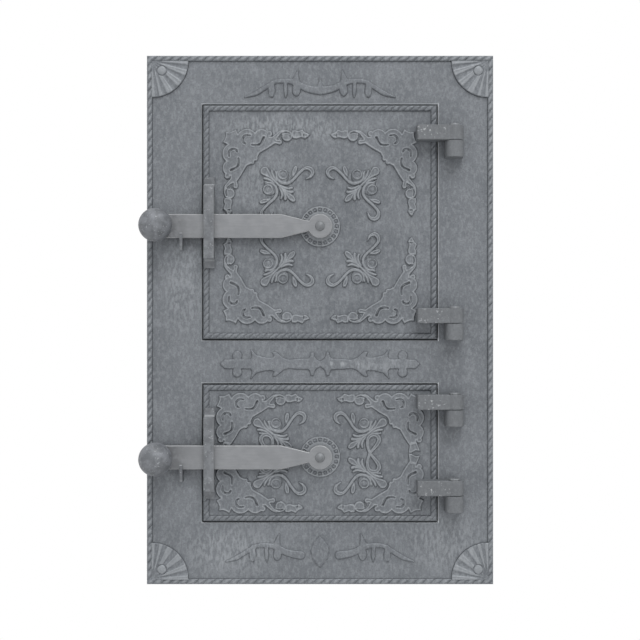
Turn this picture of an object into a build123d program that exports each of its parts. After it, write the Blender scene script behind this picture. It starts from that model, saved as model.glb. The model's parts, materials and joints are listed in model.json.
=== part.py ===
"""Cast iron oven front: a walled-in frame with two hinged doors, each held by a lifting latch.

Millimetres. X runs to the right, Z up, and Y back into the wall, so the front faces -Y.
The origin lies on the frame's back seating plane, on the centre line, at the bottom edge.
"""

import os
from math import acos, degrees

from build123d import *

os.makedirs("parts", exist_ok=True)

# Frame plate and its two openings
frame_width = 325.0
frame_height = 496.0
frame_thickness = 6.0
opening_width = 221.2
upper_opening_bottom = 229.1
upper_opening_height = 221.4
lower_opening_bottom = 58.2
lower_opening_height = 130.3
opening_chamfer = 1.0

# Ledge behind the doors and the collar that goes into the masonry
ledge_width = 7.0
ledge_thickness = 4.0
flange_width = 8.0
collar_wall = 5.0
collar_depth = 26.0
anchor_hole_radius = 4.0
anchor_depth = 16.0
upper_anchor_spacing = 120.0
lower_anchor_spacing = 60.0

# Tolerance for picking faces and edges by their place
near = 0.1

# Doors
door_clearance = 1.2
door_face = 6.5
door_back = 0.8
door_thickness = door_face - door_back
door_width = opening_width - 2 * door_clearance
relief_height = 0.7
disc_sides = 10
drop_sides = 6

# Rope beads along the edges of the frame and of the doors
frame_rope_width = 5.2
door_rope_width = 5.2
rope_height = 0.7
rope_chamfer = 0.4

# Hinges: the door's eye sits on the frame's knuckle, around a pin fixed in the knuckle
hinge_x = 125.0
hinge_y = -16.0
knuckle_radius = 8.75
knuckle_height = 15.5
eye_height = 14.0
eye_gap = 0.4
pin_radius = 4.0
pin_clearance = 0.05
pin_head_radius = 5.4
pin_head_height = 1.3
pin_head_chamfer = 0.5
lug_left = 90.0
lug_front = 23.4
lug_back = 9.2
lug_end_radius = 2.0
lug_chamfer = 0.5
lug_step = 1.0
knuckle_chamfer = 0.6
upper_eye_bottoms = (415.0, 245.0)
lower_eye_bottoms = (164.7, 84.9)

# Latch: an arm on a rivet, lifted by its knob out of a catch on the frame
upper_pivot_z = 335.6
lower_pivot_z = 119.8
boss_radius = 9.5
arm_back = 10.5
arm_thickness = 4.5
arm_front = arm_back + arm_thickness
running_gap = 0.3
arm_width = 22.2
arm_eye_radius = 11.2
arm_taper_start = 36.3
arm_neck = 10.2
arm_neck_width = 9.4
arm_chamfer = 0.6
knob_x = -151.5
knob_radius = 15.5
knob_neck_radius = 6.5
knob_middle = 15.8
screw_radius = 3.0
screw_head_radius = 5.5
screw_head_height = 2.0
screw_depth = 11.0
screw_head_chamfer = 0.6
screw_tip_gap = 1.0
rivet_radius = 3.0
rivet_clearance = 0.06
rivet_head_radius = 4.5
rivet_head_height = 2.7
rivet_tail_radius = 4.2
rivet_tail_height = 1.8
rivet_tail_chamfer = 1.0
washer_radius = 7.0
washer_thickness = 1.4

# Guide bracket on the door, around the arm, placed from the pivot
guide_left = -108.1
guide_width = 9.4
guide_low = -39.1
guide_high = 46.0
guide_foot_length = 8.2
guide_foot_height = 3.5
guide_foot_slope = 1.8
guide_window_low = -22.1
guide_window_high = 28.8
guide_front = 21.0
guide_bar = 3.8
guide_strip = 2.0
guide_end_radius = 0.8
guide_chamfer = 0.5
guide_tenon_radius = 2.5
guide_sink_radius = 3.8
guide_sink_depth = guide_sink_radius - guide_tenon_radius
guide_seat_margin = 0.2

# Catch on the frame, placed from the pivot
catch_x = -129.25
catch_thickness = 2.5
catch_low = -22.5
catch_lip_top = -6.2
catch_front = 19.2
catch_back_gap = 0.4
catch_lip_gap = 0.7
catch_corner = 2.5
catch_lip_corner = 1.2
catch_lip_drop = 2.2
catch_back_rise = 2.4
catch_root_rise = 4.4
catch_tenon_height = 8.0

# Rosette of square pockets around each pivot
rosette_radius = 19.0
rosette_height = 0.8
pocket_circle = 15.6
pocket_size = 3.2
pocket_count = 20

# Corner fans of the frame
fan_radius = 34.0
fan_height = 0.7
fan_pleats = 5
fan_ray_angle = 6.0
fan_ray_start = 7.0
fan_ray_height = 1.2
fan_button_place = 8.9
fan_button_radius = 4.2
fan_button_height = 1.7

# Ornament places on the frame plate
vine_length = 70.4
top_vine_z = 456.8
bottom_vine_z = 21.0
bottom_vine_gap = 17.8
frieze_z = 206.7
lozenge_z = 30.6
lozenge_width = 17.0
lozenge_height = 29.0

# The low door's relief is mirrored across this height, a little above its pivot
lower_relief_middle = 123.0

front_of_frame = Plane.XZ.offset(frame_thickness)
front_of_door = Plane.XZ.offset(door_face)
upper_door_size = (door_width, upper_opening_height - 2 * door_clearance)
lower_door_size = (door_width, lower_opening_height - 2 * door_clearance)
upper_door_middle = upper_opening_bottom + upper_opening_height / 2
lower_door_middle = lower_opening_bottom + lower_opening_height / 2
openings = (
    (upper_opening_height, upper_door_middle, upper_anchor_spacing),
    (lower_opening_height, lower_door_middle, lower_anchor_spacing),
)


# Shapes for the relief. Each one adds a face to the sketch that is being drawn.


def outline(*points, mode=Mode.ADD):
    """A closed outline with straight sides."""
    with BuildLine() as edge:
        Polyline(*points, close=True)
    make_face(edge.edges(), mode=mode)


def leaf(root, tip, width):
    """Two arcs from root to tip."""
    start = Vector(*root)
    end = Vector(*tip)
    middle = (start + end) / 2
    aside = (end - start).normalized().rotate(Axis.Z, 90) * (width / 2)
    with BuildLine() as edge:
        ThreePointArc(start, middle + aside, end)
        ThreePointArc(end, middle - aside, start)
    make_face(edge.edges())


def sliver(root, tip, width, bow=0.0):
    """A small leaf with four corners. A bow moves its middle to the left of the line to the tip."""
    start = Vector(*root)
    end = Vector(*tip)
    aside = (end - start).normalized().rotate(Axis.Z, 90)
    middle = (start + end) / 2 + aside * bow
    outline(start, middle - aside * (width / 2), end, middle + aside * (width / 2))


def round_points(centre, radius, start_angle, end_angle, sides):
    """Corners of a round stretch, in as many equal sides. Cast relief needs no finer curve."""
    step = (end_angle - start_angle) / sides
    angles = [start_angle + step * place for place in range(sides + 1)]
    return [centre + Vector(radius, 0).rotate(Axis.Z, angle) for angle in angles]


def drop(root, heart, radius, mode=Mode.ADD):
    """A round end about its heart, drawn out to a point at the root."""
    centre = Vector(*heart)
    reach = centre - Vector(*root)
    direction = Vector(1, 0).get_signed_angle(reach, Vector(0, 0, 1))
    half_turn = 180 - degrees(acos(radius / reach.length))
    tip = round_points(centre, radius, direction - half_turn, direction + half_turn, drop_sides)
    outline(Vector(*root), *tip, mode=mode)


def strap(*stations):
    """A strip through stations of (across, up, width)."""
    centres = [Vector(across, up) for across, up, _ in stations]
    left = []
    right = []
    for place, (_, _, width) in enumerate(stations):
        before = centres[max(place - 1, 0)]
        after = centres[min(place + 1, len(centres) - 1)]
        aside = (after - before).normalized().rotate(Axis.Z, 90) * (width / 2)
        left.append(centres[place] + aside)
        right.append(centres[place] - aside)
    outline(*left, *reversed(right))


def disc(centre, radius):
    """A small round boss. Its first corner lies on the diagonal, so that mirror images meet."""
    outline(*round_points(Vector(*centre), radius, 45, 405, disc_sides)[1:])


# Relief motifs. Across and up are counted from the door's pivot, towards one upper corner.


def corner_shell():
    """Half of the corner piece, above the diagonal: two slotted lobes, a nib and a crest."""
    with BuildSketch() as motif:
        with BuildLine() as body:
            Line((63.6, 63.6), (88.6, 88.6))
            ThreePointArc((88.6, 88.6), (84.6, 88.0), (78.9, 92.1))
            Polyline((78.9, 92.1), (76.8, 86.6), (43.6, 83.7), (41.7, 78.2), (48.8, 73.4), (56.7, 68.9))
            Polyline((56.7, 68.9), (61.2, 64.0), (63.6, 63.6))
        make_face(body.edges())
        disc((68.5, 81.8), 9.8)
        disc((54.8, 83.7), 7.7)
        disc((47.5, 86.9), 2.7)
        outline((65.6, 85.7), (72.4, 83.4), (71.2, 77.6), (69.2, 78.6), (70.3, 82.2), mode=Mode.SUBTRACT)
        outline((64.6, 76.7), (56.6, 76.2), (51.6, 84.2), (54.2, 84.2), (58.3, 78.0), mode=Mode.SUBTRACT)
    return motif.sketch


def corner_arm():
    """The arm that leads from the corner shell towards the middle: curl, volute and end leaf."""
    with BuildSketch() as motif:
        outline(
            (41.7, 78.2), (43.6, 83.7), (38.8, 88.3), (33.0, 90.0),
            (38.2, 84.0), (36.0, 79.0), (38.2, 76.6),
        )
        disc((31.1, 84.9), 5.3)
        outline(
            (26.2, 90.0), (22.1, 88.2), (16.4, 91.0), (10.0, 86.0),
            (13.4, 82.8), (21.0, 83.0), (26.2, 84.4),
        )
    return motif.sketch


def spray_axis():
    """The leaves of a spray that stand on its own axis, from the outer petal to the inner one."""
    with BuildSketch() as motif:
        drop((45.0, 45.0), (52.5, 52.5), 3.6)
        sliver((49.0, 49.0), (27.0, 27.0), 2.6)
        sliver((31.8, 31.8), (23.2, 23.2), 4.8)
    return motif.sketch


def spray_leaves():
    """The small leaves on one side of the spray's axis."""
    with BuildSketch() as motif:
        sliver((41.0, 43.2), (45.2, 53.2), 1.8)
        sliver((36.6, 38.4), (26.3, 36.6), 1.8, bow=1.2)
        sliver((33.5, 34.6), (25.4, 32.6), 2.0)
    return motif.sketch


def spray_scroll():
    """The volute, the bud and the long scroll on one side of the spray's axis."""
    with BuildSketch() as motif:
        disc((34.8, 49.0), 4.4)
        strap(
            (39.8, 51.2, 1.0), (41.0, 47.0, 1.8), (38.2, 42.2, 2.2), (32.0, 40.4, 2.4), (24.8, 44.3, 2.4),
            (15.6, 54.0, 2.6), (12.0, 55.3, 3.0), (7.9, 51.8, 3.0), (9.6, 46.7, 2.2), (14.0, 44.6, 0.8),
        )
        sliver((26.6, 45.2), (23.2, 57.6), 3.8)
    return motif.sketch


def fishtail():
    """The end of the low door's upright corner arms, beside the middle line."""
    with BuildSketch() as motif:
        outline((84.4, 10.3), (90.6, 10.3), (93.9, 1.9), (89.8, 2.7), (85.7, 0.3), (83.0, 0.3))
    return motif.sketch


def loop():
    """Half of the knot that joins two sprays of the low door: a teardrop ring."""
    with BuildSketch() as motif:
        drop((46.6, -0.6), (50.2, 11.6), 7.3)
        drop((47.7, 3.4), (50.0, 11.4), 3.6, mode=Mode.SUBTRACT)
    return motif.sketch


def mirrored(motif, about):
    """The motif's mirror image across a plane, as faces that look the same way as before."""
    image = mirror(motif, about=about)
    return Sketch() + [face if face.normal_at().Z > 0 else -face for face in image.faces()]


def with_diagonal_mirror(motif):
    """The motif and its mirror image across the line where across equals up."""
    return [motif, mirrored(motif, Plane(origin=(0, 0, 0), x_dir=(1, 1, 0), z_dir=(1, -1, 0)))]


def in_four_quarters(*motifs):
    """Each motif in all four quarters around the pivot."""
    placed = []
    for motif in motifs:
        side = mirrored(motif, Plane.YZ)
        placed += [motif, side, mirrored(motif, Plane.XZ), mirrored(side, Plane.XZ)]
    return placed


def upper_door_relief():
    """Relief of the tall door, the same in every eighth around its pivot."""
    motifs = [spray_axis()]
    for motif in (corner_shell(), corner_arm(), spray_leaves(), spray_scroll()):
        motifs += with_diagonal_mirror(motif)
    return in_four_quarters(*motifs)


def lower_door_relief():
    """Relief of the low door: the same motifs, drawn together to its height and mirrored there."""
    shell_place = Location((6.1, -34.9, 0))
    spray_place = Location((-0.2, -14.9, 0), (0, 0, -8.5))
    upright, sideways = with_diagonal_mirror(corner_shell())
    motifs = [motif.moved(shell_place) for motif in (upright, sideways, corner_arm())]
    motifs += [motif.moved(spray_place) for motif in (spray_axis(), spray_scroll())]
    motifs += [motif.moved(spray_place) for motif in with_diagonal_mirror(spray_leaves())]
    motifs += [fishtail(), loop()]
    rise = Location((0, lower_relief_middle - lower_pivot_z, 0))
    return [motif.moved(rise) for motif in in_four_quarters(*motifs)]


def vine_branch(nib):
    """A branch with three drips and a thorn, its tip at the origin. A nib crowns the joined end."""
    with BuildSketch() as motif:
        strap(
            (0.0, 0.3, 0.6), (10.1, 3.9, 3.6), (18.3, 8.9, 3.6), (27.9, 14.6, 3.4),
            (38.0, 15.6, 3.8), (47.5, 13.6, 4.6), (58.1, 8.4, 5.9), (vine_length, 6.2, 7.1),
        )
        drop((25.2, 17.0), (25.1, 3.5), 3.4)
        drop((48.0, 17.0), (48.1, 5.6), 3.6)
        sliver((37.6, 15.8), (38.2, 0.2), 3.6)
        outline((43.0, 15.5), (46.9, 20.6), (50.0, 26.1), (50.0, 19.0), (53.0, 11.8))
        if nib:
            sliver((vine_length, 5.0), (vine_length, 18.8), 6.6)
    return motif.sketch


def frieze_quarter():
    """A quarter of the frieze between the doors, from its middle to its leaf-shaped end."""
    with BuildSketch() as motif:
        outline(
            (0, 0), (93.6, 0), (89.6, 4.1), (65.3, 4.3), (63.6, 6.6), (64.7, 13.8), (59.7, 8.2),
            (51.0, 6.0), (44.7, 5.9), (42.8, 7.5), (44.7, 11.0), (41.6, 11.5), (34.6, 5.6), (29.2, 3.8),
            (22.9, 4.6), (11.1, 5.0), (9.2, 6.7), (8.6, 10.4), (6.1, 11.0), (5.5, 7.6), (3.7, 4.5),
            (0, 2.3),
        )
        disc((77.7, 7.8), 4.3)
    return motif.sketch


def fan_disc():
    """A quarter disc about the origin."""
    with BuildSketch() as motif:
        with BuildLine() as edge:
            CenterArc((0, 0), fan_radius, 0, 90)
            Polyline((0, fan_radius), (0, 0), (fan_radius, 0))
        make_face(edge.edges())
    return motif.sketch


def fan_rays():
    """The ridges of the pleats: narrow rays from near the corner to the rim."""
    pleat_angle = 90.0 / fan_pleats
    with BuildSketch() as motif:
        for pleat in range(fan_pleats):
            middle = (pleat + 0.5) * pleat_angle
            start = Vector(1, 0).rotate(Axis.Z, middle - fan_ray_angle / 2)
            end = Vector(1, 0).rotate(Axis.Z, middle + fan_ray_angle / 2)
            outline(start * fan_ray_start, start * fan_radius, end * fan_radius, end * fan_ray_start)
    return motif.sketch


def fan_button():
    with BuildSketch() as motif:
        disc((fan_button_place, fan_button_place), fan_button_radius)
    return motif.sketch


def in_frame_corners(motif):
    """The motif, drawn from a corner inwards, in the four corners of the frame's rope."""
    across = frame_width / 2 - frame_rope_width
    low = frame_rope_width
    high = frame_height - frame_rope_width
    side = mirrored(motif, Plane.YZ)
    return [
        motif.moved(Location((-across, low, 0))),
        side.moved(Location((across, low, 0))),
        mirrored(motif, Plane.XZ).moved(Location((-across, high, 0))),
        mirrored(side, Plane.XZ).moved(Location((across, high, 0))),
    ]


def add_all(sketches):
    for sketch in sketches:
        add(sketch)


def frame_ornaments():
    """Vines above and below, the frieze between the doors, and a plain lozenge below."""
    top_vine = vine_branch(nib=True).moved(Location((-vine_length, top_vine_z, 0)))
    bottom_place = Location((-vine_length - bottom_vine_gap, bottom_vine_z, 0))
    bottom_vine = vine_branch(nib=False).moved(bottom_place)
    with BuildSketch() as lozenge:
        leaf((0, lozenge_z - lozenge_height / 2), (0, lozenge_z + lozenge_height / 2), lozenge_width)
    frieze = [motif.moved(Location((0, frieze_z, 0))) for motif in in_four_quarters(frieze_quarter())]
    vines = [top_vine, mirrored(top_vine, Plane.YZ), bottom_vine, mirrored(bottom_vine, Plane.YZ)]
    return vines + frieze + [lozenge.sketch]


# Each layer of the frame's relief with its height: a fan is a low quarter disc, its pleats have
# raised ridges, and a button covers the place where they meet.
frame_relief = (
    (in_frame_corners(fan_disc()), fan_height),
    (in_frame_corners(fan_rays()), fan_ray_height),
    (in_frame_corners(fan_button()), fan_button_height),
    (frame_ornaments(), relief_height),
)


def edges_in_front(face, depth):
    """The edges of a face whose middle stands out further than a depth."""
    return face.edges().filter_by(lambda edge: edge.center().Y < -depth - near)


def hinge_knuckle(eye_bottom):
    """A barrel on a short web, cast on the frame under a door's eye, with a bevelled lower rim."""
    with BuildPart() as knuckle:
        with BuildSketch(Plane.XY.offset(eye_bottom - eye_gap)):
            with Locations((hinge_x, hinge_y)):
                Circle(knuckle_radius)
            with Locations((hinge_x, (hinge_y - frame_thickness) / 2)):
                Rectangle(2 * knuckle_radius, -frame_thickness - hinge_y)
        extrude(amount=-knuckle_height)
        rim = edges_in_front(knuckle.faces().sort_by(Axis.Z)[0], frame_thickness)
        chamfer(rim, length=knuckle_chamfer)
        with BuildSketch(Plane.XY.offset(eye_bottom - eye_gap)):
            with Locations((hinge_x, hinge_y)):
                Circle(pin_radius)
        extrude(amount=-knuckle_height, mode=Mode.SUBTRACT)
    return knuckle.part


def hinge_lug(eye_bottom):
    """A flat arm on the door's front that ends in the hinge's eye, bevelled above and below."""
    foot_end = (lug_left, -lug_front + lug_end_radius)
    front_start = (lug_left + lug_end_radius, -lug_front)
    step_x = door_width / 2 - lug_step
    with BuildPart() as lug:
        with BuildSketch(Plane.XY.offset(eye_bottom)):
            with BuildLine():
                Line((lug_left, -door_face), foot_end)
                RadiusArc(foot_end, front_start, -lug_end_radius)
                Polyline(front_start, (hinge_x, -lug_front), (hinge_x, -lug_back), (step_x, -lug_back))
                Polyline((step_x, -lug_back), (step_x, -door_face), (lug_left, -door_face))
            make_face()
            with Locations((hinge_x, hinge_y)):
                Circle(knuckle_radius)
        extrude(amount=eye_height)
        for face in (lug.faces().sort_by(Axis.Z)[0], lug.faces().sort_by(Axis.Z)[-1]):
            chamfer(edges_in_front(face, lug_back), length=lug_chamfer)
        with BuildSketch(Plane.XY.offset(eye_bottom)):
            with Locations((hinge_x, hinge_y)):
                Circle(pin_radius + pin_clearance)
        extrude(amount=eye_height, mode=Mode.SUBTRACT)
    return lug.part


knuckles = [hinge_knuckle(eye_bottom) for eye_bottom in upper_eye_bottoms + lower_eye_bottoms]

# Frame: plate, ledge and collar cast together, with the knuckles and the relief

with BuildPart() as frame:
    with BuildSketch(Plane.XZ):
        with Locations((0, frame_height / 2)):
            Rectangle(frame_width, frame_height)
    extrude(amount=frame_thickness)
    for height, middle, anchor_spacing in openings:
        with BuildSketch(Plane.XZ):
            with Locations((0, middle)):
                Rectangle(opening_width + 2 * flange_width, height + 2 * flange_width)
        extrude(amount=-ledge_thickness)
        collar_width = opening_width - 2 * ledge_width + 2 * collar_wall
        collar_height = height - 2 * ledge_width + 2 * collar_wall
        with BuildSketch(Plane.XZ):
            with Locations((0, middle)):
                Rectangle(collar_width, collar_height)
        extrude(amount=-collar_depth)
    for height, middle, anchor_spacing in openings:
        with BuildSketch(Plane.XZ.offset(frame_thickness)):
            with Locations((0, middle)):
                Rectangle(opening_width, height)
        extrude(amount=-frame_thickness, mode=Mode.SUBTRACT)
        with BuildSketch(Plane.XZ):
            with Locations((0, middle)):
                Rectangle(opening_width - 2 * ledge_width, height - 2 * ledge_width)
        extrude(amount=-collar_depth, mode=Mode.SUBTRACT)
        anchor_drill = opening_width + 2 * flange_width
        anchor_low = middle - anchor_spacing / 2
        anchor_high = middle + anchor_spacing / 2
        with BuildSketch(Plane.YZ.offset(-anchor_drill / 2)):
            with Locations((anchor_depth, anchor_low), (anchor_depth, anchor_high)):
                Circle(anchor_hole_radius)
        extrude(amount=anchor_drill, mode=Mode.SUBTRACT)
    front_face = frame.faces().sort_by(Axis.Y)[0]
    opening_edges = ShapeList(edge for wire in front_face.inner_wires() for edge in wire.edges())
    chamfer(opening_edges, length=opening_chamfer)

    for knuckle in knuckles:
        add(knuckle)

    # Rope bead around the plate
    with BuildSketch(front_of_frame):
        with Locations((0, frame_height / 2)):
            Rectangle(frame_width, frame_height)
            inner_size = (frame_width - 2 * frame_rope_width, frame_height - 2 * frame_rope_width)
            Rectangle(*inner_size, mode=Mode.SUBTRACT)
    extrude(amount=rope_height)
    bead_y = -frame_thickness - rope_height
    flat_faces = frame.faces().filter_by(Plane.XZ)
    bead_faces = flat_faces.filter_by(lambda face: abs(face.center().Y - bead_y) < near)
    chamfer(bead_faces.edges(), length=rope_chamfer)

    # Fans in the corners, vines, the frieze and the lozenge
    for sketches, height in frame_relief:
        with BuildSketch(front_of_frame):
            add_all(sketches)
        extrude(amount=height)

    # Slots for the catches' tenons
    for pivot_z in (upper_pivot_z, lower_pivot_z):
        with BuildSketch(front_of_frame):
            with Locations((catch_x, pivot_z + (catch_low + catch_lip_top) / 2)):
                Rectangle(catch_thickness, catch_tenon_height)
        extrude(amount=-frame_thickness, mode=Mode.SUBTRACT)

frame.part.label = "frame"
export_step(frame.part, "parts/frame.step")


def door_part(size, middle, pivot_z, eye_bottoms, relief):
    """A door casting: plate, rope bead, relief, rosette, pivot boss and two hinge lugs."""
    width, height = size
    lugs = [hinge_lug(eye_bottom) for eye_bottom in eye_bottoms]
    with BuildPart() as door:
        with BuildSketch(front_of_door):
            with Locations((0, middle)):
                Rectangle(width, height)
        extrude(amount=-door_thickness)
        with BuildSketch(front_of_door):
            with Locations((0, middle)):
                Rectangle(width, height)
                Rectangle(width - 2 * door_rope_width, height - 2 * door_rope_width, mode=Mode.SUBTRACT)
        extrude(amount=rope_height)
        with BuildSketch(front_of_door):
            with Locations((0, pivot_z)):
                add_all(relief)
        extrude(amount=relief_height)
        with BuildSketch(front_of_door):
            with Locations((0, pivot_z)):
                Circle(rosette_radius)
                with PolarLocations(pocket_circle, pocket_count):
                    Rectangle(pocket_size, pocket_size, mode=Mode.SUBTRACT)
        extrude(amount=rosette_height)
        with BuildSketch(front_of_door):
            with Locations((0, pivot_z)):
                Circle(boss_radius)
        extrude(amount=arm_back - running_gap - door_face)
        for lug in lugs:
            add(lug)
        with Locations(Plane.XZ.offset(arm_back)):
            with Locations((0, pivot_z)):
                Hole(rivet_radius, depth=arm_back)
        with Locations(Plane.XZ.offset(door_face)):
            tenon_x = guide_left + guide_width / 2
            low = pivot_z + guide_low + guide_foot_length / 2
            high = pivot_z + guide_high - guide_foot_length / 2
            with Locations((tenon_x, low), (tenon_x, high)):
                Hole(guide_tenon_radius, depth=door_thickness)
        with BuildSketch(Plane.XZ.offset(door_back)):
            with Locations((tenon_x, low), (tenon_x, high)):
                Circle(guide_sink_radius)
        extrude(amount=guide_sink_depth, taper=45, mode=Mode.SUBTRACT)
        with BuildSketch(front_of_door):
            with Locations((tenon_x, pivot_z + (guide_low + guide_high) / 2)):
                seat_height = guide_high - guide_low + 2 * guide_seat_margin
                Rectangle(guide_width + 2 * guide_seat_margin, seat_height)
        extrude(amount=relief_height, mode=Mode.SUBTRACT)
    return door


upper_door = door_part(
    upper_door_size, upper_door_middle, upper_pivot_z, upper_eye_bottoms, upper_door_relief()
)
upper_door.part.label = "upper_door"
export_step(upper_door.part, "parts/upper_door.step")

lower_door = door_part(
    lower_door_size, lower_door_middle, lower_pivot_z, lower_eye_bottoms, lower_door_relief()
)
lower_door.part.label = "lower_door"
export_step(lower_door.part, "parts/lower_door.step")


# Hinge pins: fixed in the frame's knuckle, with a bevelled head over the door's eye


def hinge_pin(eye_bottom):
    shank_bottom = eye_bottom - eye_gap - knuckle_height
    head_bottom = eye_bottom + eye_height + running_gap
    with BuildPart() as pin:
        with BuildSketch(Plane.XZ):
            with BuildLine():
                Polyline(
                    (0, head_bottom + pin_head_height),
                    (0, shank_bottom),
                    (pin_radius, shank_bottom),
                    (pin_radius, head_bottom),
                    (pin_head_radius, head_bottom),
                    (pin_head_radius - pin_head_chamfer, head_bottom + pin_head_height),
                    (0, head_bottom + pin_head_height),
                )
            make_face()
        revolve(axis=Axis.Z)
    pin.part = pin.part.moved(Location((hinge_x, hinge_y, 0)))
    return pin


pin_places = {
    "upper_door_top_hinge_pin": upper_eye_bottoms[0],
    "upper_door_bottom_hinge_pin": upper_eye_bottoms[1],
    "lower_door_top_hinge_pin": lower_eye_bottoms[0],
    "lower_door_bottom_hinge_pin": lower_eye_bottoms[1],
}
for pin_name, eye_bottom in pin_places.items():
    pin = hinge_pin(eye_bottom)
    pin.part.label = pin_name
    export_step(pin.part, f"parts/{pin_name}.step")


# Latch pieces, the same for both doors, placed by the height of the pivot


def latch_arm(pivot_z):
    """A flat bar from the knob to the round eye, tapered to a neck before the eye."""
    with BuildPart() as arm:
        with BuildSketch(Plane.XZ.offset(arm_back)):
            with BuildLine():
                Polyline(
                    (knob_x, pivot_z + arm_width / 2),
                    (-arm_taper_start, pivot_z + arm_width / 2),
                    (-arm_neck, pivot_z + arm_neck_width / 2),
                    (0, pivot_z + arm_neck_width / 2),
                    (0, pivot_z - arm_neck_width / 2),
                    (-arm_neck, pivot_z - arm_neck_width / 2),
                    (-arm_taper_start, pivot_z - arm_width / 2),
                    (knob_x, pivot_z - arm_width / 2),
                )
                ThreePointArc(
                    (knob_x, pivot_z - arm_width / 2),
                    (knob_x - arm_width / 2, pivot_z),
                    (knob_x, pivot_z + arm_width / 2),
                )
            make_face()
            with Locations((0, pivot_z)):
                Circle(arm_eye_radius)
        extrude(amount=arm_thickness)
        front_edges = arm.faces().sort_by(Axis.Y)[0].edges()
        chamfer(front_edges, length=arm_chamfer)
        with Locations(Plane.XZ.offset(arm_front)):
            with Locations((0, pivot_z)):
                Hole(rivet_radius + rivet_clearance, depth=arm_thickness)
            with Locations((knob_x, pivot_z)):
                Hole(screw_radius, depth=arm_thickness)
    return arm


def knob(pivot_z):
    """A turned ball on a short neck, with a blind hole for its screw."""
    with BuildPart() as ball:
        with BuildSketch(Plane.XZ.offset(arm_front)):
            Circle(knob_neck_radius)
        extrude(amount=knob_middle)
        with Locations((0, -arm_front - knob_middle, 0)):
            Sphere(knob_radius)
        with BuildSketch(Plane.XZ.offset(arm_front)):
            Circle(screw_radius)
        extrude(amount=screw_depth, mode=Mode.SUBTRACT)
    ball.part = ball.part.moved(Location((knob_x, 0, pivot_z)))
    return ball


def knob_screw(pivot_z):
    """A low-headed screw from the back of the arm into the knob."""
    with BuildPart() as screw:
        with BuildSketch(Plane.XZ.offset(arm_back)):
            Circle(screw_head_radius)
        extrude(amount=-screw_head_height)
        chamfer(screw.faces().sort_by(Axis.Y)[-1].edges(), length=screw_head_chamfer)
        with BuildSketch(Plane.XZ.offset(arm_back)):
            Circle(screw_radius)
        extrude(amount=arm_thickness + screw_depth - screw_tip_gap)
    screw.part = screw.part.moved(Location((knob_x, 0, pivot_z)))
    return screw


def pivot_rivet(pivot_z):
    """A domed rivet through the arm's eye and the door, peened over the washer behind."""
    head_base = arm_front + running_gap
    tail_base = -door_back + washer_thickness
    dome_radius = (rivet_head_radius**2 + rivet_head_height**2) / (2 * rivet_head_height)
    with BuildPart() as rivet:
        with BuildSketch(Plane.XY):
            with BuildLine():
                Polyline(
                    (0, -head_base - rivet_head_height),
                    (0, tail_base + rivet_tail_height),
                    (rivet_tail_radius - rivet_tail_chamfer, tail_base + rivet_tail_height),
                    (rivet_tail_radius, tail_base),
                    (rivet_radius, tail_base),
                    (rivet_radius, -head_base),
                    (rivet_head_radius, -head_base),
                )
                RadiusArc(
                    (rivet_head_radius, -head_base),
                    (0, -head_base - rivet_head_height),
                    dome_radius,
                )
            make_face()
        revolve(axis=Axis.Y)
    rivet.part = rivet.part.moved(Location((0, 0, pivot_z)))
    return rivet


def rivet_washer(pivot_z):
    """A plain washer between the door's back and the rivet's tail."""
    with BuildPart() as washer:
        with BuildSketch(Plane.XZ.offset(door_back)):
            Circle(washer_radius)
            Circle(rivet_radius, mode=Mode.SUBTRACT)
        extrude(amount=-washer_thickness)
    washer.part = washer.part.moved(Location((0, 0, pivot_z)))
    return washer


def latch_guide(pivot_z):
    """A bracket like a long buckle: the arm slides in its window. Two tenons hold it to the door."""
    strip_front = door_face + guide_strip
    foot_front = door_face + guide_foot_height
    bar_low = guide_low + guide_foot_length
    bar_high = guide_high - guide_foot_length
    with BuildPart() as guide:
        with BuildSketch(Plane.YZ.offset(guide_left)):
            with BuildLine():
                Polyline(
                    (-door_face, pivot_z + guide_low),
                    (-foot_front, pivot_z + guide_low),
                    (-foot_front, pivot_z + bar_low - guide_foot_slope),
                    (-foot_front - guide_foot_slope, pivot_z + bar_low),
                    (-guide_front, pivot_z + bar_low),
                    (-guide_front, pivot_z + bar_high),
                    (-foot_front - guide_foot_slope, pivot_z + bar_high),
                    (-foot_front, pivot_z + bar_high + guide_foot_slope),
                    (-foot_front, pivot_z + guide_high),
                    (-door_face, pivot_z + guide_high),
                    (-door_face, pivot_z + guide_low),
                )
            make_face()
            window_middle = (strip_front + guide_front - guide_bar) / 2
            window_depth = guide_front - guide_bar - strip_front
            window_height = guide_window_high - guide_window_low
            with Locations((-window_middle, pivot_z + (guide_window_low + guide_window_high) / 2)):
                Rectangle(window_depth, window_height, mode=Mode.SUBTRACT)
        extrude(amount=guide_width)
        bar_ends = guide.edges().filter_by(Axis.X).group_by(Axis.Y)[0]
        fillet(bar_ends, radius=guide_end_radius)
        chamfer(guide.faces().sort_by(Axis.Y)[0].edges().filter_by(Axis.Z), length=guide_chamfer)
        tenon_x = guide_left + guide_width / 2
        low = pivot_z + guide_low + guide_foot_length / 2
        high = pivot_z + guide_high - guide_foot_length / 2
        with BuildSketch(front_of_door):
            with Locations((tenon_x, low), (tenon_x, high)):
                Circle(guide_tenon_radius)
        extrude(amount=-door_thickness)
        with BuildSketch(Plane.XZ.offset(door_back)):
            with Locations((tenon_x, low), (tenon_x, high)):
                Circle(guide_sink_radius)
        extrude(amount=guide_sink_depth, taper=45)
    return guide


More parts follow.
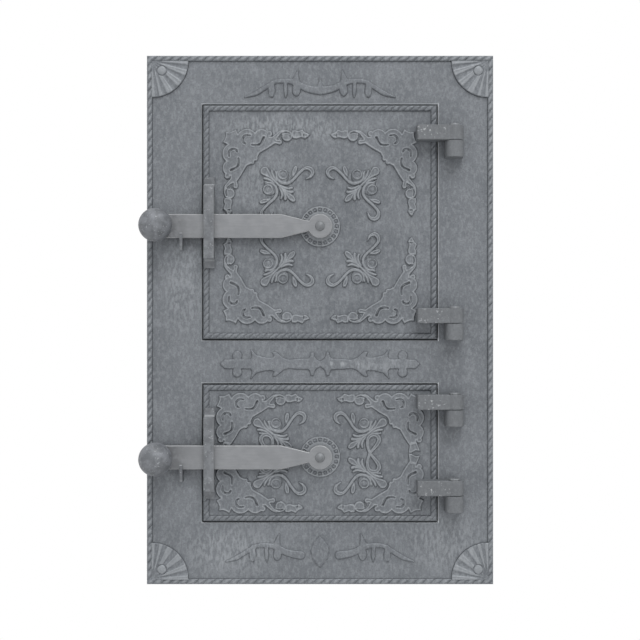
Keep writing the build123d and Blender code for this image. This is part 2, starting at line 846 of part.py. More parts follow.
def latch_catch(pivot_z):
    """A thin hook plate on the frame: the arm drops behind its lip. A tenon goes through the plate."""
    arm_low = -arm_width / 2
    slot_bottom = arm_low - running_gap
    slot_back = arm_back - catch_back_gap
    slot_front = arm_front + catch_lip_gap
    with BuildPart() as catch:
        with BuildSketch(Plane.YZ.offset(catch_x - catch_thickness / 2)):
            with BuildLine():
                Polyline(
                    (-frame_thickness, pivot_z + catch_low),
                    (-catch_front + catch_corner, pivot_z + catch_low),
                    (-catch_front, pivot_z + catch_low + catch_corner),
                    (-catch_front, pivot_z + catch_lip_top - catch_lip_corner),
                    (-catch_front + catch_lip_corner, pivot_z + catch_lip_top),
                    (-slot_front, pivot_z + catch_lip_top - catch_lip_drop),
                    (-slot_front, pivot_z + slot_bottom),
                    (-slot_back, pivot_z + slot_bottom),
                    (-slot_back, pivot_z + slot_bottom + catch_back_rise),
                    (-frame_thickness, pivot_z + slot_bottom + catch_root_rise),
                    (-frame_thickness, pivot_z + catch_low),
                )
            make_face()
        extrude(amount=catch_thickness)
        with BuildSketch(front_of_frame):
            with Locations((catch_x, pivot_z + (catch_low + catch_lip_top) / 2)):
                Rectangle(catch_thickness, catch_tenon_height)
        extrude(amount=-frame_thickness)
    return catch


latch_builders = {
    "latch_arm": latch_arm,
    "knob": knob,
    "knob_screw": knob_screw,
    "pivot_rivet": pivot_rivet,
    "rivet_washer": rivet_washer,
    "latch_guide": latch_guide,
    "catch": latch_catch,
}
for level, pivot_z in (("upper", upper_pivot_z), ("lower", lower_pivot_z)):
    for piece_name, build_piece in latch_builders.items():
        piece = build_piece(pivot_z)
        piece.part.label = f"{level}_{piece_name}"
        export_step(piece.part, f"parts/{level}_{piece_name}.step")
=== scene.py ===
# %% [markdown]
# # A cast iron oven front
# This front is walled into a masonry oven. The frame, both doors, their hinge eyes and their
# carved relief are grey iron castings. Two flat steel arms hold the doors shut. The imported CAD
# model gives the frame of reference, the bodies and every solid, so this lesson adds what a caster
# would see on the surface: rounded carving, twisted rope borders, fans in the corners, and the
# finish of the iron.

import json
import math

import bpy
import numpy as np
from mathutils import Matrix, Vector


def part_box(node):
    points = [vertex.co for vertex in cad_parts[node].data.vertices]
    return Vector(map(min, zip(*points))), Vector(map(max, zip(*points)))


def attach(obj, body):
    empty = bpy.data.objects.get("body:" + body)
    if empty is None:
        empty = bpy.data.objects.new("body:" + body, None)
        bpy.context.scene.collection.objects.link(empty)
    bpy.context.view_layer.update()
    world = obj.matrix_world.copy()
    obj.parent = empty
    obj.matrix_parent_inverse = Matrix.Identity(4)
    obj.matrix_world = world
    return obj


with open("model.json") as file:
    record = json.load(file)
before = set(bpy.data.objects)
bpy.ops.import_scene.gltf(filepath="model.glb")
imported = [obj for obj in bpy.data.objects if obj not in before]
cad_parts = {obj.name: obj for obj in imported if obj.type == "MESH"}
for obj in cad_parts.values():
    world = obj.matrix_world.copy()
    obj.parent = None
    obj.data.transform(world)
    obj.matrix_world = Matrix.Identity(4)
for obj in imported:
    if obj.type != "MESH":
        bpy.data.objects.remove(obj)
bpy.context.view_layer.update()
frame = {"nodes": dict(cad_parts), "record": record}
nodes = frame["nodes"]
MM = 0.001
# Where the castings' faces lie along Y, in millimetres. The front faces -Y.
plate_face, door_face = -6.0, -6.5

# %% [markdown]
# ## Camera
# The photograph looks straight at the front from a little over a metre, level with its middle. A
# camera with a 72 mm lens does the same: at 1.2 m its picture is 0.6 m wide.

# %% Camera, level with the middle of the plate
plate_low, plate_high = (Vector(corner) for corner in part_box("frame"))
camera_distance = 1.2
camera_data = bpy.data.cameras.new("front_camera")
camera_data.lens = 71.9
camera_data.sensor_width = 36.0
camera_data.clip_start = 0.01
camera = bpy.data.objects.new("front_camera", camera_data)
bpy.context.scene.collection.objects.link(camera)
middle_z = (plate_low.z + plate_high.z) / 2
camera.location = (0.0, plate_face * MM - camera_distance, middle_z)
camera.rotation_euler = (math.radians(90), 0, 0)
bpy.context.scene.camera = camera
bpy.context.scene.view_settings.view_transform = "Standard"
print("camera at", [round(value, 3) for value in camera.location])

# %% [markdown]
# ## Nodes and colours
# A few small helpers serve every material. One turns a colour as a painter would pick it on a
# screen into the linear numbers that a shader works with. One adds a node, with its settings and
# its links, so that each material below reads as a short list. The others start a material and take
# the greatest of several values, which joins masks.


# %% Colour and node helpers
def linear(hex_colour):
    """An sRGB hex colour as linear red, green, blue and alpha."""
    values = [int(hex_colour[place : place + 2], 16) / 255 for place in (1, 3, 5)]
    light = [v / 12.92 if v <= 0.04045 else ((v + 0.055) / 1.055) ** 2.4 for v in values]
    return (*light, 1.0)


def add_node(tree, kind, settings=None, values=None, links=None):
    """Adds a node. Settings are its properties, values its sockets, and links feed its sockets."""
    node = tree.nodes.new(kind)
    for name, value in (settings or {}).items():
        setattr(node, name, value)
    for socket, value in (values or {}).items():
        node.inputs[socket].default_value = value
    for socket, source in (links or {}).items():
        tree.links.new(source, node.inputs[socket])
    return node


def new_material(name):
    """An empty material with a Principled shader, and its tree and shader."""
    material = bpy.data.materials.new(name)
    material.use_nodes = True
    return material, material.node_tree, material.node_tree.nodes["Principled BSDF"]


def greatest(tree, values):
    """The greatest of several values. Of masks, it shows where any of them does."""
    total = values[0]
    for value in values[1:]:
        total = add_node(
            tree, "ShaderNodeMath", {"operation": "MAXIMUM"}, {}, {0: total, 1: value}
        ).outputs[0]
    return total


print("mid grey in linear light", [round(v, 3) for v in linear("#75797D")[:3]])

# %% [markdown]
# ## Light
# The photograph was lit softly: an even white surround, a broad light from above, which catches the
# upper edges of the carving and leaves thin shadows below it, and a weak one from the left. The
# white that the camera sees comes from the background itself, not from more light on the iron.


# %% World: an even surround, white where the camera looks past the front
def make_world(surround):
    """White for the camera and in reflections, and weaker as a light on the iron."""
    world = bpy.data.worlds.new("white_surround")
    world.use_nodes = True
    tree = world.node_tree
    tree.nodes.clear()
    path = add_node(tree, "ShaderNodeLightPath")
    sees_white = greatest(tree, [
        path.outputs["Is Camera Ray"],
        path.outputs["Is Glossy Ray"],
        path.outputs["Is Transmission Ray"],
    ])
    even, white = (
        add_node(tree, "ShaderNodeBackground", {}, {"Color": (1, 1, 1, 1), "Strength": strength})
        for strength in (surround, 1.0)
    )
    mix = add_node(
        tree, "ShaderNodeMixShader", {}, {},
        {0: sees_white, 1: even.outputs[0], 2: white.outputs[0]},
    )
    add_node(tree, "ShaderNodeOutputWorld", {}, {}, {"Surface": mix.outputs[0]})
    bpy.context.scene.world = world


make_world(surround=0.5)
print("world", bpy.context.scene.world.name)


# %% Lamps: a broad key from above, a weak fill from the left
def add_sun(name, direction, strength, spread):
    """A soft distant lamp that shines along the direction."""
    lamp = bpy.data.lights.new(name, "SUN")
    lamp.energy = strength
    lamp.angle = math.radians(spread)
    lamp_object = bpy.data.objects.new(name, lamp)
    lamp_object.rotation_euler = Vector(direction).to_track_quat("-Z", "Y").to_euler()
    bpy.context.scene.collection.objects.link(lamp_object)


add_sun("key_light", (-0.2, 0.60, -0.85), 1.88, 44)
add_sun("fill_light", (0.75, 0.6, 0.1), 0.25, 60)
print("lamps", [lamp.name for lamp in bpy.data.lights])


# %% Floor, well below the front, as in a hung product picture
def make_floor(depth):
    """A pale floor that the camera sees as white."""
    bpy.ops.mesh.primitive_plane_add(size=6.0, location=(0, 0, plate_low.z - depth))
    floor = bpy.context.active_object
    floor.name = "studio_floor"
    material, tree, shader = new_material("white_floor")
    shader.inputs["Base Color"].default_value = linear("#F2F2F2")
    shader.inputs["Roughness"].default_value = 0.9
    path = add_node(tree, "ShaderNodeLightPath")
    glow = add_node(tree, "ShaderNodeEmission", {}, {"Color": (1, 1, 1, 1), "Strength": 1.0})
    mix = add_node(
        tree, "ShaderNodeMixShader", {}, {},
        {0: path.outputs["Is Camera Ray"], 1: shader.outputs[0], 2: glow.outputs[0]},
    )
    tree.links.new(mix.outputs[0], tree.nodes["Material Output"].inputs["Surface"])
    floor.data.materials.append(material)


floor_depth = 0.3
make_floor(floor_depth)
print("floor height", round(plate_low.z - floor_depth, 3))

# %% [markdown]
# ## Cast iron
# Grey iron comes out of a sand mould with a fine grain, and goes dull and bluish with handling and
# heat. The eye sees slow clouds, a fine mottle and small dark pits. Rubbed places are paler, in
# short upright streaks, and they lie where the photograph shows them. Noise on Object coordinates
# draws each of these at its size in millimetres, and the grain is bump, at about the size of the
# sand. A mask is a value from 0 to 1 that says how much of the next colour goes over the last.


# %% Patterns and masks
def noise(tree, position, size_mm, detail=3.0, stretch=(1, 1, 1)):
    """Noise whose blobs are about size_mm across, stretched along the axes."""
    scaled = add_node(
        tree, "ShaderNodeVectorMath", {"operation": "MULTIPLY"}, {1: stretch}, {0: position}
    )
    return add_node(
        tree, "ShaderNodeTexNoise", {},
        {"Scale": 1.0 / (size_mm * MM), "Detail": detail, "Roughness": 0.6},
        {"Vector": scaled.outputs[0]},
    ).outputs["Fac"]


def band(tree, value, low, high):
    """The value spread from 0 at low to 1 at high."""
    return add_node(
        tree, "ShaderNodeMapRange", {"interpolation_type": "SMOOTHSTEP"},
        {"From Min": low, "From Max": high}, {"Value": value},
    ).outputs["Result"]


def where_both(tree, first, second):
    """A mask that shows where both masks do."""
    return add_node(
        tree, "ShaderNodeMath", {"operation": "MULTIPLY"}, {}, {0: first, 1: second}
    ).outputs[0]


def share_of(tree, amount, part):
    """A mask weakened to a part of itself."""
    return add_node(
        tree, "ShaderNodeMath", {"operation": "MULTIPLY"}, {1: part}, {0: amount}
    ).outputs[0]


def mix_colours(tree, amount, first, second):
    """First where the amount is 0 and second where it is 1. Either is a hex colour or an output."""
    mix = add_node(tree, "ShaderNodeMix", {"data_type": "RGBA"}, {}, {0: amount})
    for socket, colour in ((6, first), (7, second)):
        if isinstance(colour, str):
            mix.inputs[socket].default_value = linear(colour)
        else:
            tree.links.new(colour, mix.inputs[socket])
    return mix.outputs[2]


# %% Places on the front, and the grain
def pale_field(tree, position, centre, radii):
    """A soft ellipse about a place on the front, from 1 in its middle to 0."""
    from_centre = add_node(
        tree, "ShaderNodeVectorMath", {"operation": "SUBTRACT"},
        {1: (centre[0] * MM, 0, centre[1] * MM)}, {0: position},
    )
    scaled = add_node(
        tree, "ShaderNodeVectorMath", {"operation": "MULTIPLY"},
        {1: (1 / (radii[0] * MM), 0, 1 / (radii[1] * MM))}, {0: from_centre.outputs[0]},
    )
    reach = add_node(
        tree, "ShaderNodeVectorMath", {"operation": "LENGTH"}, {}, {0: scaled.outputs[0]}
    )
    return add_node(
        tree, "ShaderNodeMapRange", {"interpolation_type": "SMOOTHSTEP"},
        {"From Min": 0.25, "From Max": 1.0, "To Min": 1.0, "To Max": 0.0},
        {"Value": reach.outputs["Value"]},
    ).outputs["Result"]


def out_of_face(tree, position, casting_face):
    """How far a point stands out of a casting's face, in millimetres."""
    depth = add_node(tree, "ShaderNodeSeparateXYZ", {}, {}, {0: position}).outputs["Y"]
    return add_node(
        tree, "ShaderNodeMapRange", {"clamp": False},
        {"From Min": casting_face * MM, "From Max": (casting_face - 1.0) * MM}, {"Value": depth},
    ).outputs["Result"]


def grain(tree, shader, position, layers):
    """Stacked bump. Each layer is (size in mm, depth in mm)."""
    normal = None
    for size_mm, depth_mm in layers:
        bump = add_node(
            tree, "ShaderNodeBump", {}, {"Strength": 1.0, "Distance": depth_mm * MM},
            {"Height": noise(tree, position, size_mm, detail=2.0)},
        )
        if normal is not None:
            tree.links.new(normal, bump.inputs["Normal"])
        normal = bump.outputs["Normal"]
    tree.links.new(normal, shader.inputs["Normal"])


# %% [markdown]
# Broken edges of a casting in use are pale, and here the bevels also carry a painted highlight, most
# of all where they face left and down, away from the key light. The seams round the doors get
# painted shade. The hinge lugs are duller, with pale specks where their skin has flaked. All of that
# follows from where a point is and which way it faces, so masks can find it.


# %% Bevels, pale as worn edges and as painted highlight
def on_bevels(tree):
    """1 on faces tilted by 45 degrees out of the front plane, on the bevels, else 0."""
    normal = add_node(tree, "ShaderNodeTexCoord").outputs["Normal"]
    depth = add_node(tree, "ShaderNodeSeparateXYZ", {}, {}, {0: normal}).outputs["Y"]
    facing = add_node(tree, "ShaderNodeMath", {"operation": "ABSOLUTE"}, {}, {0: depth}).outputs[0]
    return where_both(tree, band(tree, facing, 0.55, 0.66), band(tree, facing, 0.86, 0.75))


def bevel_highlight_share(tree):
    """How bright the painted highlight on a bevel is: most where it faces left or down, else little.
    """
    normal = add_node(tree, "ShaderNodeTexCoord").outputs["Normal"]
    parts = add_node(tree, "ShaderNodeSeparateXYZ", {}, {}, {0: normal})
    least = add_node(
        tree, "ShaderNodeMath", {"operation": "MINIMUM"}, {},
        {0: parts.outputs["X"], 1: parts.outputs["Z"]},
    )
    return add_node(
        tree, "ShaderNodeMapRange", {"interpolation_type": "SMOOTHSTEP"},
        {"From Min": 0.0, "From Max": -0.5, "To Min": 0.35, "To Max": 1.0},
        {"Value": least.outputs[0]},
    ).outputs["Result"]


# %% Painted shade in the seams round the doors, near black like deep shadow and soot
# The door openings in the plate: the heights of their middles and half their sizes, in mm.
upper_opening_z, lower_opening_z = 339.8, 123.35
door_openings = ((upper_opening_z, 110.7), (lower_opening_z, 65.15))
opening_half_width = 110.6


def in_openings(tree, position):
    """1 within the outlines of the two door openings, seen from the front, else 0."""
    masks = []
    for opening_z, half_height in door_openings:
        from_centre = add_node(
            tree, "ShaderNodeVectorMath", {"operation": "SUBTRACT"},
            {1: (0, 0, opening_z * MM)}, {0: position},
        )
        outward = add_node(
            tree, "ShaderNodeVectorMath", {"operation": "ABSOLUTE"}, {},
            {0: from_centre.outputs[0]},
        )
        shares = add_node(
            tree, "ShaderNodeVectorMath", {"operation": "MULTIPLY"},
            {1: (1 / (opening_half_width * MM), 0, 1 / (half_height * MM))},
            {0: outward.outputs[0]},
        )
        parts = add_node(tree, "ShaderNodeSeparateXYZ", {}, {}, {0: shares.outputs[0]})
        furthest = greatest(tree, [parts.outputs["X"], parts.outputs["Z"]])
        masks.append(band(tree, furthest, 1.006, 1.003))
    return greatest(tree, masks)


def in_seam(tree, position, height, deepest):
    """1 on the openings' walls and ledge, from 1.6 mm under the face to the deepest, else 0."""
    under_face = band(tree, height, -0.9, -1.6)
    depth = where_both(tree, under_face, band(tree, height, deepest - 0.2, deepest))
    return where_both(tree, in_openings(tree, position), depth)


# %% Flaked hinge lugs
lug_height = (2.4, 2.8)
lug_half_sizes = (26, 12)
hinge_lug_centres = ((103, 424), (103, 250), (103, 171), (103, 90))


def flaked_spots(tree, position, height):
    """White specks on what stands well out of the face, about each hinge lug."""
    specks = band(tree, noise(tree, position, 3.0, 3.0), 0.60, 0.66)
    places = [pale_field(tree, position, centre, lug_half_sizes) for centre in hinge_lug_centres]
    near_lugs = where_both(tree, specks, greatest(tree, places))
    return where_both(tree, near_lugs, band(tree, height, *lug_height))


# %% [markdown]
# The finish is laid up from the bottom: the mottled metal first, then painted light and the marks of
# use.
# Carving and ropes get painted shade at their foot and a painted highlight on their rims instead,
# and because a rope stands on a bead, its painted shade and its rims start higher.

# %% Mottled metal
# Where the iron is rubbed pale, the last three also as a painted highlight of worn spots: centre (x,
# z) and half sizes in millimetres, and strength.
rubbed_and_highlight_fields = (
    ((-30, 428), (88, 20), 0.62),
    ((-128, 285), (28, 80), 0.50),
    ((-85, 32), (64, 34), 0.60),
    ((118, 38), (52, 40), 0.50),
    ((60, 206), (52, 10), 0.50),
    ((-45, 372), (52, 46), 0.45),
    # Three worn spots on the frieze, painted as bright as their highlight.
    ((36.6, 206.3), (3.4, 5.2), 1.0),
    ((21.5, 207.0), (3.6, 3.6), 1.0),
    ((11.0, 207.6), (3.6, 3.2), 1.0),
)


def mottled_metal(tree, position, tones):
    """Slow clouds, fine mottle, dark pits and rubbed fields. Tones are body, pale and dark."""
    body, pale, dark = tones
    slow = band(tree, noise(tree, position, 34.0, 4.0), 0.35, 0.7)
    colour = mix_colours(tree, slow, dark, body)
    mottle = band(tree, noise(tree, position, 2.6, 5.0, (1, 1, 0.6)), 0.42, 0.66)
    colour = mix_colours(tree, share_of(tree, mottle, 0.36), colour, pale)
    pits = band(tree, noise(tree, position, 1.5, 2.0), 0.52, 0.36)
    colour = mix_colours(tree, share_of(tree, pits, 0.34), colour, "#54585C")
    streaks = band(tree, noise(tree, position, 2.2, 6.0, (1, 1, 0.36)), 0.44, 0.60)
    for centre, radii, strength in rubbed_and_highlight_fields:
        amount = where_both(tree, pale_field(tree, position, centre, radii), streaks)
        colour = mix_colours(tree, share_of(tree, amount, strength), colour, pale)
    return colour


# %% Painted shade and highlight, and marks of use, on plain faces and on carving
def painted_shade_and_rims_on_carving(tree, colour, height, carved):
    """Painted shade at the foot, painted highlight on the rims. Carved: full shade, no shade, rims'
    start.
    """
    full_shade_height, unshaded_height, highlight_start = carved
    painted_foot_shade = band(tree, height, unshaded_height, full_shade_height)
    colour = mix_colours(tree, share_of(tree, painted_foot_shade, 0.62), colour, "#3A3D40")
    painted_rim_highlight = band(tree, height, highlight_start, highlight_start + 0.25)
    return mix_colours(tree, share_of(tree, painted_rim_highlight, 0.34), colour, "#AEB2B6")


def painted_light_and_marks_on_faces(tree, colour, position, height, deepest_seam_shade):
    """Painted shade in the seams, painted highlight on the bevels, and duller lugs with pale specks.
    """
    # Painted shade: the seams' walls and ledge go near black, as deep shadow and soot would leave
    # them.
    painted_seam_shade = share_of(tree, in_seam(tree, position, height, deepest_seam_shade), 0.85)
    colour = mix_colours(tree, painted_seam_shade, colour, "#232527")
    painted_bevel_light = where_both(tree, on_bevels(tree), band(tree, height, 2.0, 0.6))
    # Painted highlight: bevels go pale, most where they face away from the key light.
    colour = mix_colours(tree, where_both(tree, painted_bevel_light, bevel_highlight_share(tree)), colour, "#D6DADE")
    lugs = share_of(tree, band(tree, height, *lug_height), 0.5)
    colour = mix_colours(tree, lugs, colour, "#6B6D6F")
    spots = share_of(tree, flaked_spots(tree, position, height), 0.6)
    return mix_colours(tree, spots, colour, "#C4C6C8")


# %% Cast iron for the frame and the doors
def make_cast_iron(name, tones, casting_face, deepest_seam_shade, carved):
    """Dull sand-cast grey iron, for a plain face or, where carved has heights, for carving.

    All heights are millimetres out of the casting's face, so the seam shade's deepest is negative.
    """
    material, tree, shader = new_material(name)
    position = add_node(tree, "ShaderNodeTexCoord").outputs["Object"]
    colour = mottled_metal(tree, position, tones)
    height = out_of_face(tree, position, casting_face)
    if carved:
        colour = painted_shade_and_rims_on_carving(tree, colour, height, carved)
    else:
        colour = painted_light_and_marks_on_faces(tree, colour, position, height, deepest_seam_shade)
    tree.links.new(colour, shader.inputs["Base Color"])
    shader.inputs["Metallic"].default_value = 0.35
    shader.inputs["Roughness"].default_value = 0.56
    grain(tree, shader, position, ((7.0, 0.22), (1.3, 0.11)))
    return material


# Heights in mm: full painted shade, no more shade, and the start of the painted rim highlight.
carving_heights = (0.1, 0.95, 1.55)
rope_heights = (0.8, 1.45, 1.88)


def casting_irons(casting, tones, casting_face, deepest_seam_shade):
    """The three irons of one casting: its plain faces, its carving and its rope."""
    places = {"cast": None, "carving": carving_heights, "rope": rope_heights}
    return [
        make_cast_iron(f"{casting}_{place}_iron", tones, casting_face, deepest_seam_shade, carved)
        for place, carved in places.items()
    ]


plate_iron, plate_carving_iron, plate_rope_iron = casting_irons(
    "plate", ("#777B80", "#989CA0", "#6C7075"), plate_face, deepest_seam_shade=-6.2
)
door_iron, door_carving_iron, door_rope_iron = casting_irons(
    "door", ("#75797E", "#989CA0", "#686C71"), door_face, deepest_seam_shade=-5.3
)
print("cast iron has", len(plate_iron.node_tree.nodes), "nodes")

# %% [markdown]
# ## Knobs, guides and steel
# The knobs and the guide brackets are the same iron with a pale speckle, where the skin has flaked.
# The arms are flat steel bar, smoother and paler, with faint marks along their length. Rivets, pins
# and screws are plain dull steel.


# %% Speckled iron and dull steel
def make_speckled_iron(name, body, speck, amount, edges):
    """Cast iron with small pale specks, and with edges, bevels made pale as wear and painted
    highlight.
    """
    material, tree, shader = new_material(name)
    position = add_node(tree, "ShaderNodeTexCoord").outputs["Object"]
    slow = band(tree, noise(tree, position, 7.0, 4.0), 0.38, 0.62)
    colour = mix_colours(tree, slow, "#686B6F", body)
    specks = band(tree, noise(tree, position, 2.2, 4.0), 0.60, 0.68)
    colour = mix_colours(tree, share_of(tree, specks, amount), colour, speck)
    if edges:
        # Painted highlight: the bevels go pale, as worn edges and as the light would catch them.
        colour = mix_colours(tree, share_of(tree, on_bevels(tree), 0.6), colour, "#9A9DA0")
    tree.links.new(colour, shader.inputs["Base Color"])
    shader.inputs["Metallic"].default_value = 0.3
    shader.inputs["Roughness"].default_value = 0.58
    grain(tree, shader, position, ((3.5, 0.2), (0.9, 0.08)))
    return material


# The arms grow darker from here, in millimetres, to the darkest near the knob.
darkening_start_x, darkest_x = -112, -142


def make_dull_steel(name, body, pale, along, bevel_highlight_amount):
    """Dulled rolled steel bar: faint marks along one axis, darker towards the knob, painted bevel
    highlight.
    """
    material, tree, shader = new_material(name)
    position = add_node(tree, "ShaderNodeTexCoord").outputs["Object"]
    marks = band(tree, noise(tree, position, 1.5, 4.0, along), 0.35, 0.75)
    slow = band(tree, noise(tree, position, 16.0, 3.0), 0.35, 0.65)
    colour = mix_colours(tree, slow, body, pale)
    colour = mix_colours(tree, share_of(tree, marks, 0.3), colour, "#77797D")
    across = add_node(tree, "ShaderNodeSeparateXYZ", {}, {}, {0: position}).outputs["X"]
    knob_side = band(tree, across, darkening_start_x * MM, darkest_x * MM)
    # Darker in patches towards the knob.
    darker_near_knob = where_both(tree, knob_side, band(tree, noise(tree, position, 9.0), 0.3, 0.6))
    colour = mix_colours(tree, share_of(tree, darker_near_knob, 0.6), colour, "#626467")
    # Painted highlight on the bevels, as pale worn edges.
    colour = mix_colours(tree, share_of(tree, on_bevels(tree), bevel_highlight_amount), colour, "#ABADAF")
    tree.links.new(colour, shader.inputs["Base Color"])
    shader.inputs["Metallic"].default_value = 0.4
    shader.inputs["Roughness"].default_value = 0.55
    grain(tree, shader, position, ((6.0, 0.12), (1.0, 0.03)))
    return material


speckled_iron = make_speckled_iron("flaked_cast_iron", "#7D8085", "#BFC1C3", 0.45, edges=False)
guide_iron = make_speckled_iron("guide_cast_iron", "#7B7E82", "#B4B7BA", 0.45, edges=True)
arm_steel = make_dull_steel("rolled_steel", "#86888B", "#8E9093", (0.12, 1, 1), 0.8)
plain_steel = make_dull_steel("plain_steel", "#74777A", "#808386", (1, 1, 1), 0.15)
finishes = {
    "cast_iron": door_iron,
    "cast_guide": guide_iron,
    "cast_knob": speckled_iron,
    "steel_arm": arm_steel,
    "plain_steel": plain_steel,
}


def finish_nodes():
    """Gives each CAD node the finish of its material slot in the record."""
    for part in frame["record"]["subparts"]:
        is_frame = part["node"] == "frame"
        for slot in nodes[part["node"]].material_slots:
            slot.link = "OBJECT"
            slot.material = plate_iron if is_frame else finishes[part["material_slot"]]


finish_nodes()
print("finishes", sorted(finishes))

# %% [markdown]
# ## How the carving is made
# The relief was pressed into the sand by a carved wooden pattern: strokes with a rounded back, and
# broad leaves with a raised rim and a sunken middle. A mesh of that is a sheet of small squares
# whose height follows from one number, the distance to the outline of the ornament. So each motif
# is drawn as a few strokes, discs and outlines, and the distance does the rest. The sheet keeps
# only the squares that stand out of the casting, and its rim lies just under the iron's face.
# Modelling each leaf with curves would be possible too, but their crossings would need mending.


# %% Distances to strokes, discs and outlines, all in millimetres
def smoothed(stations, steps=4):
    """More stations on a smooth curve through the given ones (a Catmull-Rom spline)."""
    stations = np.array(stations, dtype=float)
    padded = np.concatenate([stations[:1], stations, stations[-1:]])
    curve = []
    for before, start, end, after in zip(padded, padded[1:], padded[2:], padded[3:]):
        for share in np.arange(steps) / steps:
            curve.append(0.5 * (
                2 * start + (end - before) * share
                + (2 * before - 5 * start + 4 * end - after) * share**2
                + (3 * start - before - 3 * end + after) * share**3
            ))
    return np.array(curve + [stations[-1]])


far_away = 1e3


def stretch_distance(x, z, start, end):
    """Distance to a straight stretch, and how far along it the nearest place is, from 0 to 1."""
    (ax, az), (bx, bz) = start, end
    length_squared = max((bx - ax) ** 2 + (bz - az) ** 2, 1e-9)
    share = np.clip(((x - ax) * (bx - ax) + (z - az) * (bz - az)) / length_squared, 0, 1)
    return np.hypot(x - ax - (bx - ax) * share, z - az - (bz - az) * share), share


def stroke_distance(x, z, points, widths):
    """Distance to a tapering smooth stroke through the points, negative inside."""
    best = np.full(x.shape, far_away)
    stations = [(*point, width) for point, width in zip(points, widths)]
    stations = smoothed(stations) if len(points) > 2 else np.array(stations, dtype=float)
    points, widths = stations[:, :2], np.maximum(stations[:, 2], 0.1)
    for start, end, width, next_width in zip(points, points[1:], widths, widths[1:]):
        reach, share = stretch_distance(x, z, start, end)
        best = np.minimum(best, reach - (width + (next_width - width) * share) / 2)
    return best


def disc_distance(x, z, centre, radius):
    return np.hypot(x - centre[0], z - centre[1]) - radius


def outline_distance(x, z, corners):
    """Distance to a closed outline, negative inside."""
    best = np.full(x.shape, far_away)
    inside = np.zeros(x.shape, dtype=bool)
    for start, end in zip(corners, corners[1:] + corners[:1]):
        best = np.minimum(best, stretch_distance(x, z, start, end)[0])
        (ax, az), (bx, bz) = start, end
        if az != bz:
            crosses = (az > z) != (bz > z)
            inside ^= crosses & (x < (bx - ax) * (z - az) / (bz - az) + ax)
    return np.where(inside, -best, best)


def merge(*distances, blend=1.0):
    """The union of shapes, with a soft fillet where they meet."""
    result = distances[0]
    for other in distances[1:]:
        overlap = np.clip(blend - np.abs(result - other), 0, None) / blend
        result = np.minimum(result, other) - overlap**2 * blend / 4
    return result


# %% From a distance to a height
relief_flank = 0.55
relief_rise = 1.25
relief_top = 1.85
relief_hollow = 0.55
rim_width = 0.85
sink_width = 1.0
below_face = -0.35


def eased(share):
    """A share from 0 to 1 that starts and ends gently."""
    return share**2 * (3 - 2 * share)


def carved_height(distance, top=relief_top, hollow=relief_hollow):
    """A steep flank, a rounded rim and a sunken middle. Far outside it is just below the face."""
    inside = -distance
    share = np.minimum((inside + relief_flank) / relief_rise, 1.0)
    height = top * (1 - (1 - share) ** 2)
    height = height - hollow * eased(np.clip((inside - rim_width) / sink_width, 0, 1))
    return np.maximum(height, below_face)


# %% [markdown]
# ## A sheet of iron
# Each sheet starts as a grid primitive. Its points are moved out of the casting's face by the
# height, and in edit mode the squares that lie under the face are deleted. What is left has its rim
# just below the face, so it reads as one casting with it.


# %% Build a relief sheet
carving_irons = {plate_face: plate_carving_iron, door_face: door_carving_iron}
rope_irons = {plate_face: plate_rope_iron, door_face: door_rope_iron}
sheet_rim = -0.02
# The size of a sheet's squares, in millimetres: fine enough for a stroke, a bead and a strand.
carving_step, rosette_step, rope_step = 0.5, 0.3, 0.4


def place_on_face(mesh, x_range, z_range, casting_face, height_at):
    """Spreads a unit grid over a part of the face and lifts its points. Returns which ones show."""
    points = np.empty(3 * len(mesh.vertices))
    mesh.vertices.foreach_get("co", points)
    share = points.reshape(-1, 3)[:, :2] + 0.5
    x = x_range[0] + share[:, 0] * (x_range[1] - x_range[0])
    z = z_range[0] + share[:, 1] * (z_range[1] - z_range[0])
    height = height_at(x, z)
    mesh.vertices.foreach_set("co", (np.stack([x, casting_face - height, z], axis=1) * MM).ravel())
    return height > sheet_rim


def delete_hidden_squares(mesh, shown):
    """Deletes the squares that have no corner above the face."""
    corners = np.empty(len(mesh.loops), dtype=int)
    mesh.loops.foreach_get("vertex_index", corners)
    hidden = ~shown[corners.reshape(-1, 4)].any(axis=1)
    mesh.vertices.foreach_set("select", np.zeros(len(mesh.vertices), dtype=bool))
    mesh.edges.foreach_set("select", np.zeros(len(mesh.edges), dtype=bool))
    mesh.polygons.foreach_set("select", hidden)
    bpy.context.tool_settings.mesh_select_mode = (False, False, True)
    bpy.ops.object.mode_set(mode="EDIT")
    bpy.ops.mesh.delete(type="FACE")
    bpy.ops.object.mode_set(mode="OBJECT")


def cast_sheet(name, body, x_range, z_range, step, casting_face, height_at, irons=carving_irons):
    """A sheet over the casting's face. height_at gives millimetres out of the face at (x, z)."""
    bpy.ops.object.select_all(action="DESELECT")
    bpy.ops.mesh.primitive_grid_add(
        x_subdivisions=round((x_range[1] - x_range[0]) / step),
        y_subdivisions=round((z_range[1] - z_range[0]) / step), size=1.0,
    )
    sheet = bpy.context.active_object
    sheet.name = name
    shown = place_on_face(sheet.data, x_range, z_range, casting_face, height_at)
    delete_hidden_squares(sheet.data, shown)
    bpy.ops.object.shade_smooth()
    sheet.data.materials.append(irons[casting_face])
    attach(sheet, body)
    print(name, "triangles", 2 * len(sheet.data.polygons))


# %% [markdown]
# ## The doors' motifs
# Places are millimetres from the latch pivot, across and up, both taken as positive towards the
# nearest corner. The tall door's ornament is the same in every eighth of a turn, so only one eighth
# is drawn, and the point is folded into it. Each corner holds a shell with two lobes and deep
# C-shaped slots, and an arm that ends in a curl, a volute and a leaf.


# %% Corner shell and arm
def fold_on_diagonal(across, up):
    """The same place in the eighth above the diagonal."""
    return np.minimum(across, up), np.maximum(across, up)


